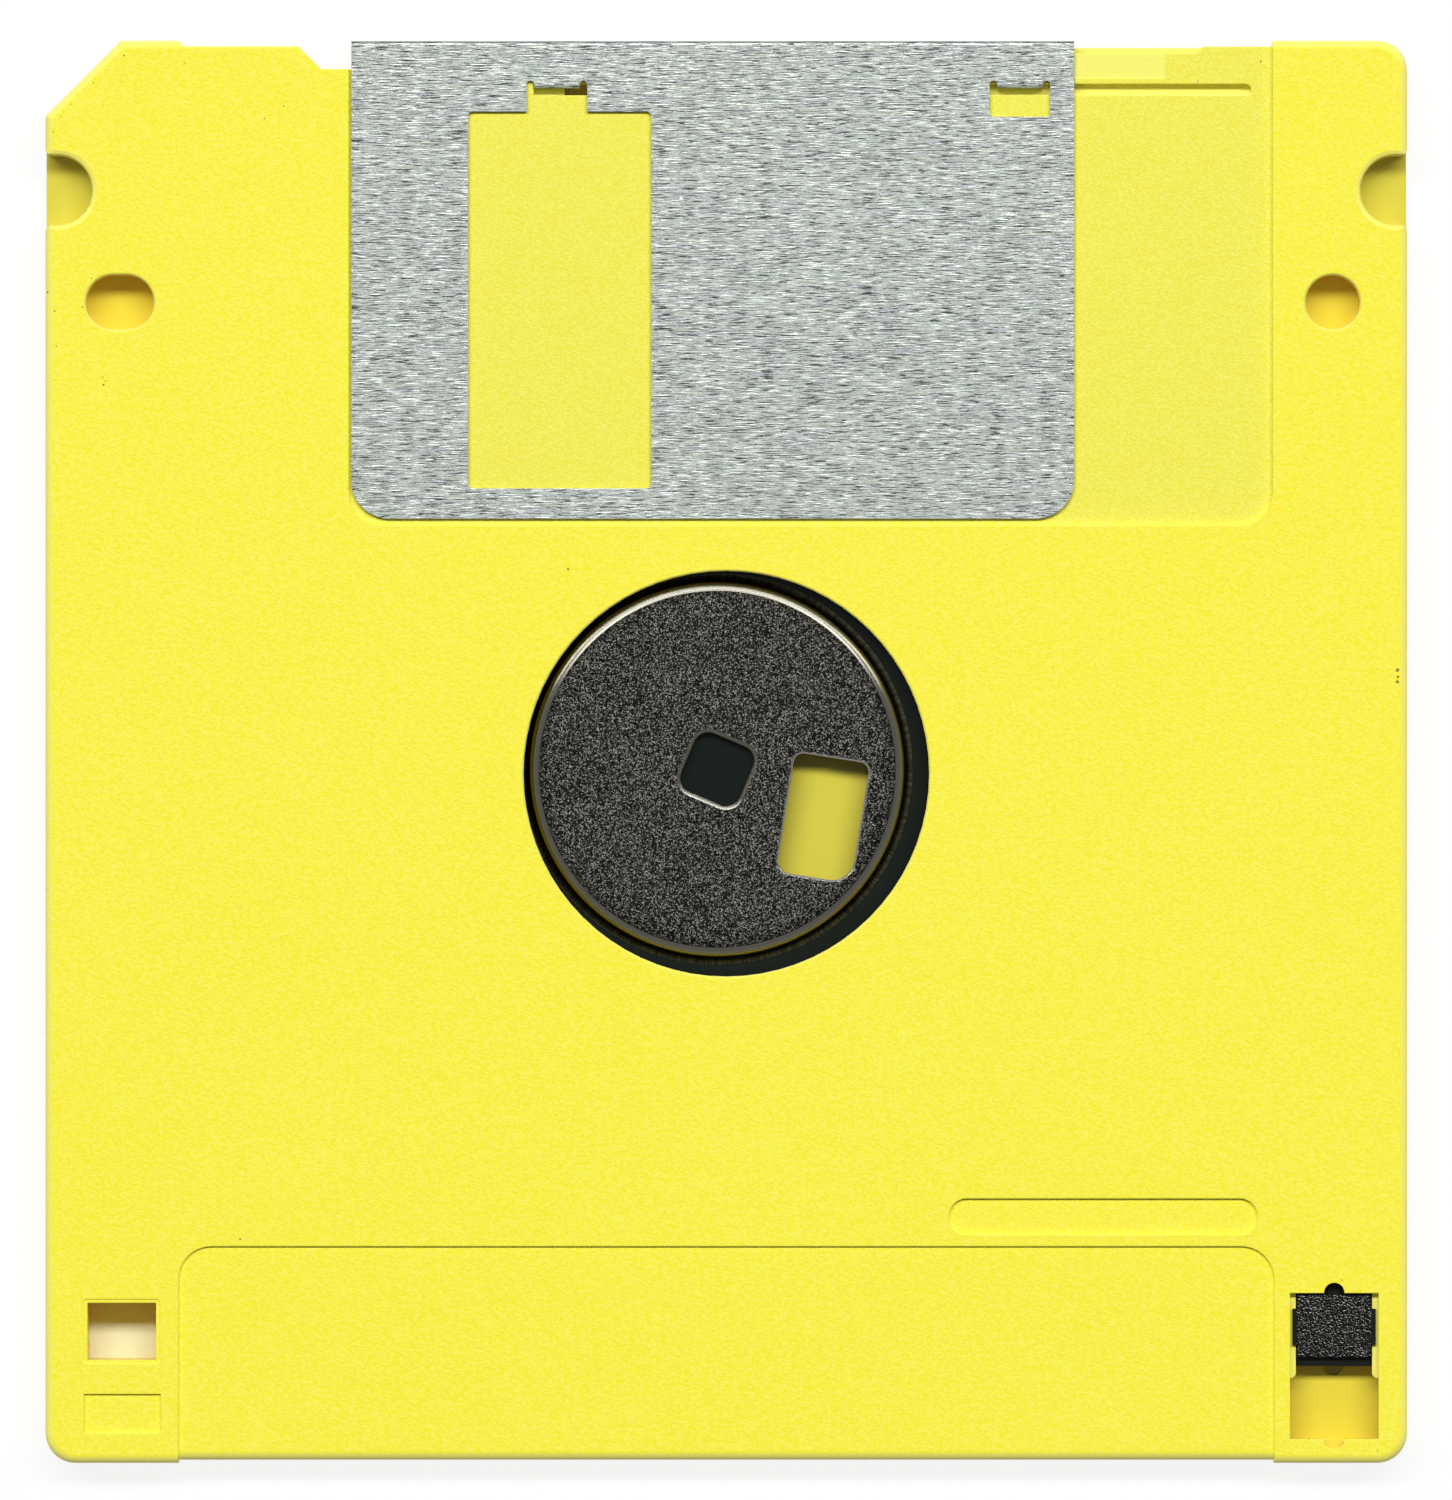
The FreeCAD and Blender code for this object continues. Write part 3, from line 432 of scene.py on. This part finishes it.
shutterSteel = {
    "shader": {"Metallic": 1.0},
    "plain": (158, 164, 157),
    "lilac": (152, 148, 160),
    "groove": (44, 48, 50),
    "ridge": (206, 211, 204),
    "burrAndSheen": (214, 210, 222),
    "nick": (244, 240, 216),
    "longGroove": {"Length": 1.7, "Width": 0.056, "Wave": 0.06},
    "shortGroove": {"Length": 0.85, "Width": 0.056, "Wave": 0.04},
    "shortLift": 0.02,
    "ridgeSize": {"Length": 1.2, "Width": 0.054, "Wave": 0.05},
    "tintSize": {"Length": 3.0, "Width": 0.35, "Wave": 0.5},
    "elsewhere": (31.0, 17.0, 5.0),
    "grain": {"Size": (0.12, 0.07, 0.1)},
    "tintTone": (0.5, 0.75, 0.0, 0.5),
    "grooveTone": (0.5, 0.36),
    "ridgeTone": (0.57, 0.74),
    "darkGrain": (0.55, 0.25, 0.0, 0.3),
    "lightGrain": (0.45, 0.75, 0.0, 0.3),
    "ridgeShare": 0.55,
    "burrAndSheenShare": 0.5,
    "nickPlace": (-2.99, 36.55, 0.1),  # x, y and reach in mm
    "depth": 0.000004,
    "edge": {"Radius": 0.00006},
    "roughness": (0.0, 1.0, 0.3, 0.44),
}


def makeShutterSteel(values):
    material, tree, shader = newMaterial("shutterSteel", values["shader"])
    place = placeInMm(tree)
    elsewhere = vectorMaths(tree, "ADD", place, values["elsewhere"])  # so that no two sets agree
    longer = toneOf(tree, streaks, place, values["longGroove"])
    shorter = toneOf(tree, streaks, elsewhere, values["shortGroove"])
    groove = maths(tree, "MINIMUM", longer, maths(tree, "ADD", shorter, values["shortLift"]))
    ridge = toneOf(tree, streaks, elsewhere, values["ridgeSize"])
    tint = ramp(tree, toneOf(tree, streaks, place, values["tintSize"]), *values["tintTone"])
    grain = toneOf(tree, mottle, place, values["grain"])
    darkGrain = ramp(tree, grain, *values["darkGrain"])
    lightGrain = ramp(tree, grain, *values["lightGrain"])
    darkened = largest(tree, darkGrain, ramp(tree, groove, *values["grooveTone"]))
    lightened = largest(tree, lightGrain, ramp(tree, ridge, *values["ridgeTone"]))
    edge = useGroup(tree, softEdge, values["edge"])
    bright = product(tree, lightened, values["ridgeShare"])
    # pale line along the edges, partly burr and partly a painted sheen
    burrAndSheen = product(tree, edge["Edge"], values["burrAndSheenShare"])
    nick = markAt(tree, flattened(tree, place), *values["nickPlace"])
    colour = mixColour(tree, tint, values["plain"], values["lilac"])
    colour = mixColour(tree, darkened, colour, values["groove"])
    colour = mixColour(tree, bright, colour, values["ridge"])
    colour = mixColour(tree, burrAndSheen, colour, values["burrAndSheen"])
    colour = mixColour(tree, nick, colour, values["nick"])
    height = maths(tree, "SUBTRACT", lightened, darkened)
    normal = bumped(tree, height, values["depth"], edge["Normal"])
    roughness = ramp(tree, darkened, *values["roughness"])
    feed(tree, shader, {"Base Color": colour, "Roughness": roughness, "Normal": normal})
    return material


paint(makeShutterSteel(shutterSteel), "shutter")
print("stage 3: shutter steel made")


# Hub: drawn steel cup, bead blasted on its face and polished on its rim by the die
# Distances are measured from its axis and heights from its top

hubSteel = {
    "shader": {"Metallic": 1.0},
    "dark": (3, 3, 3),
    "grey": (28, 28, 25),
    # painted glints of the blasted face
    "paintedGlint": (210, 208, 200),
    "shoulder": (34, 33, 28),
    "rim": (82, 81, 74),
    # painted reflection of the yellow case in the rim's underside
    "yellowReflection": (140, 130, 56),
    "wall": (46, 45, 30),
    "bend": (76, 75, 58),
    "edgeLine": (152, 150, 142),
    "dotSize": 0.062,
    "darkTone": (0.0, 0.6),
    "glintTone": (0.62, 1.47),
    # painted shade on the face towards its rim
    "shade": (0.55, 0.55, 0.5),
    "shadeDistance": (10.9, 11.9),
    "flatUp": (0.97, 0.995),
    "flatHeight": (-0.1, -0.05),
    "faceDistance": (11.82, 11.72),
    "rimDistance": (11.77, 11.83),
    "yellowReflectionUp": (0.91, 0.83),
    "wallUp": (0.65, 0.35),
    "bendHeight": (-0.7, -0.8),
    "rays": {"outwards": 0.6, "around": 100.0},
    "rayTone": (0.3, 0.7),
    "rimRoll": {"start": 11.76, "width": 0.11, "slope": 0.19},
    "hole": {"side": 4.2, "corner": 1.0, "turn": -23.0, "roll": 0.26, "fade": 0.05, "slope": 0.23},
    "depth": 0.004,
    "bumpUnit": 0.001,  # here all relief, with depth, is in mm
    "edge": {"Radius": 0.0003},
    "roughness": (0.0, 1.0, 0.3, 0.13),
    "bendRoughness": 0.42,
}


def hubSpeckle(tree, place, values):
    # cells of mixed brightness: most of them dark, some with a glint
    inputs = {"Vector": place, "Scale": 1.0 / values["dotSize"]}
    cells = addNode(tree, "ShaderNodeTexVoronoi", inputs).outputs["Color"]
    tone = splitUp(tree, cells)[0]
    colour = mixColour(tree, ramp(tree, tone, *values["darkTone"]), values["dark"], values["grey"])
    return tone, mixColour(tree, ramp(tree, tone, *values["glintTone"]), colour, values["paintedGlint"])


def hubSide(tree, x, y, distance, upward, bend, values):
    # shoulder, polished rim with a painted reflection of the yellow case under it, upright wall,
    # and a rayed bend to the flange
    onRim = ramp(tree, distance, *values["rimDistance"])
    colour = mixColour(tree, onRim, values["shoulder"], values["rim"])
    colour = mixColour(tree, ramp(tree, upward, *values["yellowReflectionUp"]), colour, values["yellowReflection"])
    colour = mixColour(tree, ramp(tree, upward, *values["wallUp"]), colour, values["wall"])
    outwards = product(tree, distance, values["rays"]["outwards"])
    around = product(tree, maths(tree, "ARCTAN2", y, x), values["rays"]["around"])
    ray = ramp(tree, noise(tree, joinUp(tree, outwards, around)), *values["rayTone"])
    return mixColour(tree, bend, colour, mixColour(tree, ray, values["wall"], values["bend"]))


def besideHole(tree, x, y, hole):
    # mm outwards from the edge of the square hole, round its corners too
    inner = hole["side"] / 2 - hole["corner"]
    beyond = vectorMaths(tree, "ABSOLUTE", joinUp(tree, *turned(tree, x, y, hole["turn"])))
    beyond = vectorMaths(tree, "SUBTRACT", beyond, (inner, inner, 0.0))
    beyond = vectorMaths(tree, "LENGTH", vectorMaths(tree, "MAXIMUM", beyond), output="Value")
    return maths(tree, "SUBTRACT", beyond, hole["corner"])


def rimDrop(tree, distance, roll):
    # mm that the rim falls away outwards: an even slope, then one that fades out as far again
    beyond = maths(tree, "SUBTRACT", distance, roll["start"])
    even = clamped(tree, beyond, 0.0, roll["width"])
    fading = clamped(tree, maths(tree, "SUBTRACT", beyond, roll["width"]), 0.0, roll["width"])
    flattening = product(tree, fading, fading, -0.5 / roll["width"])
    drop = maths(tree, "ADD", maths(tree, "ADD", even, fading), flattening)
    return product(tree, drop, roll["slope"])


def makeHubSteel(values):
    material, tree, shader = newMaterial("hubSteel", values["shader"])
    place = placeInMm(tree)
    x, y, z, distance = fromPiece(tree, place, "hub")
    upward = facingUp(tree)
    edge = useGroup(tree, softEdge, values["edge"])

    # where its top is flat, blasted, bent down to the flange, and rolled round the hole
    flat = ramp(tree, upward, *values["flatUp"])
    flat = product(tree, flat, ramp(tree, z, *values["flatHeight"]))
    face = product(tree, flat, ramp(tree, distance, *values["faceDistance"]))
    bend = ramp(tree, z, *values["bendHeight"])
    hole = values["hole"]
    beside = besideHole(tree, x, y, hole)
    rolled = product(tree, ramp(tree, beside, hole["roll"], hole["roll"] - hole["fade"]), flat)

    # colour of the face, with painted shade towards its rim, then of what lies round it
    tone, colour = hubSpeckle(tree, place, values)
    shaded = vectorMaths(tree, "MULTIPLY", colour, values["shade"])
    colour = mixColour(tree, ramp(tree, distance, *values["shadeDistance"]), colour, shaded)
    side = hubSide(tree, x, y, distance, upward, bend, values)
    colour = mixColour(tree, face, side, colour)
    colour = mixColour(tree, product(tree, edge["Edge"], face), colour, values["edgeLine"])
    colour = mixColour(tree, rolled, colour, values["rim"])

    # relief: grain on the face, the rim falling away outwards and the hole's edge inwards
    grained = product(tree, face, maths(tree, "SUBTRACT", 1.0, edge["Edge"]))
    rise = product(tree, maths(tree, "MINIMUM", beside, hole["roll"]), hole["slope"])
    height = product(tree, tone, grained, values["depth"])
    height = maths(tree, "SUBTRACT", height, rimDrop(tree, distance, values["rimRoll"]))
    height = maths(tree, "ADD", height, rise)
    normal = bumped(tree, height, values["bumpUnit"], edge["Normal"])

    # smooth wherever the die has polished it, duller down the bend
    polish = largest(tree, maths(tree, "SUBTRACT", 1.0, face), edge["Edge"], rolled)
    roughness = ramp(tree, polish, *values["roughness"])
    roughness = largest(tree, roughness, product(tree, bend, values["bendRoughness"]))
    feed(tree, shader, {"Base Color": colour, "Roughness": roughness, "Normal": normal})
    return material


paint(makeHubSteel(hubSteel), "hub")


# Disc: dark magnetic film, faintly marked by its turning

discFilm = {
    "shader": {"Specular IOR Level": 0.08},
    "film": (18, 24, 20),
    "worn": (28, 33, 28),
    "ringWidth": 0.35,
    "ringDetail": 3.0,
    "ringTone": (0.4, 0.7),
    "haze": {"Size": (3.0, 3.0, 3.0), "Contrast": 1.5},
    "hazeTone": (0.2, 0.9),
    "roughness": (0.0, 1.0, 0.24, 0.36),
}


def makeDiscFilm(values):
    material, tree, shader = newMaterial("discFilm", values["shader"])
    place = placeInMm(tree)
    distance = fromPiece(tree, place, "media_disc")[3]
    ring = rings(tree, distance, values["ringWidth"], values["ringDetail"])
    haze = toneOf(tree, mottle, place, values["haze"])
    wear = ramp(tree, ring, *values["ringTone"])
    wear = product(tree, wear, ramp(tree, haze, *values["hazeTone"]))
    colour = mixColour(tree, wear, values["film"], values["worn"])
    feed(tree, shader, {"Base Color": colour, "Roughness": ramp(tree, wear, *values["roughness"])})
    return material


paint(makeDiscFilm(discFilm), "media_disc")
print("stage 4: hub steel and disc film made")


# Adhesive ring between the hub's flange and the film

adhesive = {
    "shader": {"IOR": 1.48},
    "thin": (96, 88, 60),
    "thick": (70, 62, 40),
    "blob": {"Size": (0.9, 0.9, 0.9), "Contrast": 1.8},
    "depth": 0.00001,
    "roughness": (0.2, 0.8, 0.5, 0.35),
}


def makeAdhesive(values):
    material, tree, shader = newMaterial("adhesive", values["shader"])
    tone = toneOf(tree, mottle, placeInMm(tree), values["blob"])
    colour = mixColour(tree, tone, values["thin"], values["thick"])
    normal = bumped(tree, tone, values["depth"])
    roughness = ramp(tree, tone, *values["roughness"])
    feed(tree, shader, {"Base Color": colour, "Roughness": roughness, "Normal": normal})
    return material


paint(makeAdhesive(adhesive), "hub_adhesive_ring")


# Liners: non-woven fabric, pressed fibres lying in all directions

linerFelt = {
    "shader": {"Roughness": 0.95, "Specular IOR Level": 0.2, "Sheen Weight": 0.3},
    "fibre": (236, 235, 228),
    "gap": (196, 195, 188),
    "fibreSize": {"Length": 1.4, "Width": 0.03, "Wave": 0.6},
    "fibreTurns": (0.0, 50.0, 105.0, 150.0),
    "fibreTone": (0.5, 0.8),
    "depth": 0.00003,
}


def makeLinerFelt(values):
    material, tree, shader = newMaterial("linerFelt", values["shader"])
    x, y, z = splitUp(tree, placeInMm(tree))
    layers = []
    for turn in values["fibreTurns"]:
        place = joinUp(tree, *turned(tree, x, y, turn), z)
        layers.append(toneOf(tree, streaks, place, values["fibreSize"]))
    fibres = largest(tree, *layers)
    share = ramp(tree, fibres, *values["fibreTone"])
    colour = mixColour(tree, share, values["gap"], values["fibre"])
    feed(tree, shader, {"Base Color": colour, "Normal": bumped(tree, fibres, values["depth"])})
    return material


paint(makeLinerFelt(linerFelt), "front_liner", "back_liner")


# Lifter: a thin leaf of cloudy film

lifterFilm = {
    "shader": {"IOR": 1.5},
    "clear": (206, 203, 190),
    "cloudy": (226, 224, 214),
    "cloud": {"Size": (1.2, 1.2, 1.2), "Contrast": 1.6},
    "scratch": {"Length": 4.0, "Width": 0.05, "Wave": 0.2},
    "depth": 0.000002,
    "roughness": (0.4, 0.8, 0.3, 0.45),
}


def makeLifterFilm(values):
    material, tree, shader = newMaterial("lifterFilm", values["shader"])
    place = placeInMm(tree)
    cloud = toneOf(tree, mottle, place, values["cloud"])
    scratch = toneOf(tree, streaks, place, values["scratch"])
    colour = mixColour(tree, cloud, values["clear"], values["cloudy"])
    normal = bumped(tree, scratch, values["depth"])
    roughness = ramp(tree, scratch, *values["roughness"])
    feed(tree, shader, {"Base Color": colour, "Roughness": roughness, "Normal": normal})
    return material


paint(makeLifterFilm(lifterFilm), "lifter")


# Wear button: smooth black plastic, dulled where the hub turns on it

wearButton = {
    "shader": {"Specular IOR Level": 0.06},
    "black": (18, 24, 21),
    "dulled": (24, 30, 27),
    "dulledShare": 0.6,
    "ringWidth": 1 / 9,
    "ringDetail": 2.0,
    "ringTone": (0.45, 0.7),
    "wornDistance": (3.0, 1.6),
    "grain": {"Size": (0.2, 0.2, 0.2), "Contrast": 1.2},
    "depth": 0.000004,
    "edge": {"Radius": 0.00008},
    "roughness": (0.0, 1.0, 0.32, 0.47),
}


def makeWearButton(values):
    material, tree, shader = newMaterial("wearButton", values["shader"])
    place = placeInMm(tree)
    distance = fromPiece(tree, place, "wear_button")[3]
    ring = rings(tree, distance, values["ringWidth"], values["ringDetail"])
    worn = ramp(tree, ring, *values["ringTone"])
    worn = product(tree, worn, ramp(tree, distance, *values["wornDistance"]))
    share = product(tree, worn, values["dulledShare"])
    colour = mixColour(tree, share, values["black"], values["dulled"])
    grain = toneOf(tree, mottle, place, values["grain"])
    edge = useGroup(tree, softEdge, values["edge"])
    normal = bumped(tree, grain, values["depth"], edge["Normal"])
    roughness = ramp(tree, worn, *values["roughness"])
    feed(tree, shader, {"Base Color": colour, "Roughness": roughness, "Normal": normal})
    return material


paint(makeWearButton(wearButton), "wear_button")


# Write-protect slider: black plastic with a coarse leather grain on its face, and painted
# highlights where the grain rises towards the lamp

tabPlastic = {
    "shader": {"Specular IOR Level": 0.05},
    "black": (0, 0, 0),
    "raised": (16, 17, 15),
    "paintedHighlight": (214, 214, 206),
    "smooth": (24, 27, 22),
    "pebble": {"Size": (0.11, 0.085, 0.1), "Turn": 12.0},
    "towardsLamp": (0.02, 0.045, 0.0),
    "raisedTone": (0.36, 0.56),
    "highlightSlope": (0.1, 0.26),
    "faceSide": (2.48, 2.43),
    "faceHeight": (-0.1, -0.05),
    "depth": 0.00005,
    "edge": {"Radius": 0.0001},
    "roughness": (0.0, 1.0, 0.34, 0.5),
}


def makeTabPlastic(values):
    material, tree, shader = newMaterial("tabPlastic", values["shader"])
    place = placeInMm(tree)
    x, y, z = fromPiece(tree, place, "write_protect_tab")[:3]
    flat = useGroup(tree, level)["Mask"]
    across = ramp(tree, maths(tree, "ABSOLUTE", x), *values["faceSide"])
    grained = product(tree, flat, ramp(tree, z, *values["faceHeight"]), across)
    pebble = toneOf(tree, mottle, place, values["pebble"])
    # painted highlights on the grain's slopes that face the lamp
    above = vectorMaths(tree, "ADD", place, values["towardsLamp"])
    slope = maths(tree, "SUBTRACT", pebble, toneOf(tree, mottle, above, values["pebble"]))
    raised = ramp(tree, pebble, *values["raisedTone"])
    colour = mixColour(tree, raised, values["black"], values["raised"])
    colour = mixColour(tree, ramp(tree, slope, *values["highlightSlope"]), colour, values["paintedHighlight"])
    colour = mixColour(tree, grained, values["smooth"], colour)
    edge = useGroup(tree, softEdge, values["edge"])
    normal = bumped(tree, product(tree, pebble, grained), values["depth"], edge["Normal"])
    roughness = ramp(tree, grained, *values["roughness"])
    feed(tree, shader, {"Base Color": colour, "Roughness": roughness, "Normal": normal})
    return material


paint(makeTabPlastic(tabPlastic), "write_protect_tab")


# Spring: drawn steel wire

springWire = {
    "shader": {"Metallic": 1.0},
    "steel": (150, 150, 148),
    "drawn": (104, 104, 104),
    "line": {"Length": 3.0, "Width": 0.05, "Wave": 0.4},
    "lineTone": (0.35, 0.7),
    "roughness": (0.3, 0.7, 0.38, 0.28),
}


def makeSpringWire(values):
    material, tree, shader = newMaterial("springWire", values["shader"])
    line = toneOf(tree, streaks, placeInMm(tree), values["line"])
    share = ramp(tree, line, *values["lineTone"])
    colour = mixColour(tree, share, values["drawn"], values["steel"])
    feed(tree, shader, {"Base Color": colour, "Roughness": ramp(tree, line, *values["roughness"])})
    return material


paint(makeSpringWire(springWire), "shutter_spring")
print("stage 5: inner pieces and slider made")


# Floor: white, with the object's soft shadow
# Under the object it is tinted warm as painted light, the yellow thrown off the openings' walls,
# and takes shade, for the openings that go right through

floorLook = {
    "side": 3.0,
    "drop": 0.00002,
    "white": (250, 250, 250),
    "warmBounce": (233, 232, 194),
    "glow": (255, 255, 255),
    "hiddenWidth": 0.086,
    "hiddenEnds": (-0.046, 0.034),
    "shadowShare": 0.12,
}


def seenRays(tree):
    # 1 for rays that show something to the eye, also in a mirror or through glass
    ray = addNode(tree, "ShaderNodeLightPath").outputs
    return largest(tree, ray["Is Camera Ray"], ray["Is Glossy Ray"], ray["Is Transmission Ray"])


def makeFloor(values):
    bpy.ops.object.select_all(action="DESELECT")
    bpy.ops.mesh.primitive_plane_add(size=values["side"], location=(0.0, 0.0, -values["drop"]))
    floor = bpy.context.object
    floor.name = "floor"
    bpy.ops.object.transform_apply(location=True, rotation=True, scale=True)
    material = bpy.data.materials.new("floorWhite")
    material.use_nodes = True
    tree = material.node_tree
    tree.nodes.clear()
    x, y, z = splitUp(tree, addNode(tree, "ShaderNodeTexCoord").outputs["Object"])
    near, far = values["hiddenEnds"]
    outside = largest(
        tree,
        maths(tree, "GREATER_THAN", maths(tree, "ABSOLUTE", x), values["hiddenWidth"] / 2),
        maths(tree, "LESS_THAN", y, near),
        maths(tree, "GREATER_THAN", y, far),
    )
    ground = mixColour(tree, outside, values["warmBounce"], values["white"])
    diffuse = addNode(tree, "ShaderNodeBsdfDiffuse", {"Color": ground}).outputs["BSDF"]
    glow = addNode(tree, "ShaderNodeEmission", {"Color": srgb(values["glow"])}).outputs["Emission"]
    share = product(tree, seenRays(tree), outside, 1.0 - values["shadowShare"])
    inputs = {0: share, 1: diffuse, 2: glow}
    surface = addNode(tree, "ShaderNodeMixShader", inputs).outputs["Shader"]
    addNode(tree, "ShaderNodeOutputMaterial", {"Surface": surface})
    floor.data.materials.append(material)


makeFloor(floorLook)


# Light: one long lamp on the shutter's side, as in a flat-bed scanner, and a white room round it

lightLook = {
    "length": 4.6,
    "width": 0.6,
    "distance": 3.0,
    "lean": 28.0,
    "power": 125.2,
    "room": (255, 255, 255),
    "roomLight": 0.08,
    "roomSeen": 1.0,
}


def makeLight(values):
    lean = math.radians(values["lean"])
    lamp = bpy.data.lights.new("longLamp", "AREA")
    lamp.shape = "RECTANGLE"
    lamp.size = values["length"]
    lamp.size_y = values["width"]
    lamp.energy = values["power"]
    holder = bpy.data.objects.new("longLamp", lamp)
    away = values["distance"]
    holder.location = (0.0, away * math.sin(lean), away * math.cos(lean))
    holder.rotation_euler = (-lean, 0.0, 0.0)
    holder.visible_camera = False
    bpy.context.scene.collection.objects.link(holder)


def makeRoom(values):
    # white to the eye, and dimmer as a light on the part
    world = bpy.data.worlds.new("whiteRoom")
    world.use_nodes = True
    bpy.context.scene.world = world
    tree = world.node_tree
    strength = ramp(tree, seenRays(tree), 0.0, 1.0, values["roomLight"], values["roomSeen"])
    feed(tree, tree.nodes["Background"], {"Color": srgb(values["room"]), "Strength": strength})


makeLight(lightLook)
makeRoom(lightLook)


# Camera: straight above, as far off as a desk stand, framing what the scan frames

cameraLook = {
    "distance": 1.0,
    "aimAt": 0.0033,
    "centre": (-0.00002, 0.00012),
    "frameHeight": 0.09908,
    "sensor": 36.0,
    "clip": (0.05, 10.0),
}


def makeCamera(values):
    camera = bpy.data.cameras.new("scanView")
    camera.sensor_width = values["sensor"]
    camera.lens = values["sensor"] * values["distance"] / values["frameHeight"]
    camera.clip_start, camera.clip_end = values["clip"]
    holder = bpy.data.objects.new("scanView", camera)
    holder.location = (*values["centre"], values["distance"] + values["aimAt"])
    bpy.context.scene.collection.objects.link(holder)
    bpy.context.scene.camera = holder


makeCamera(cameraLook)
bpy.context.scene.view_settings.view_transform = "Standard"
print("stage 6: floor, light and camera made")
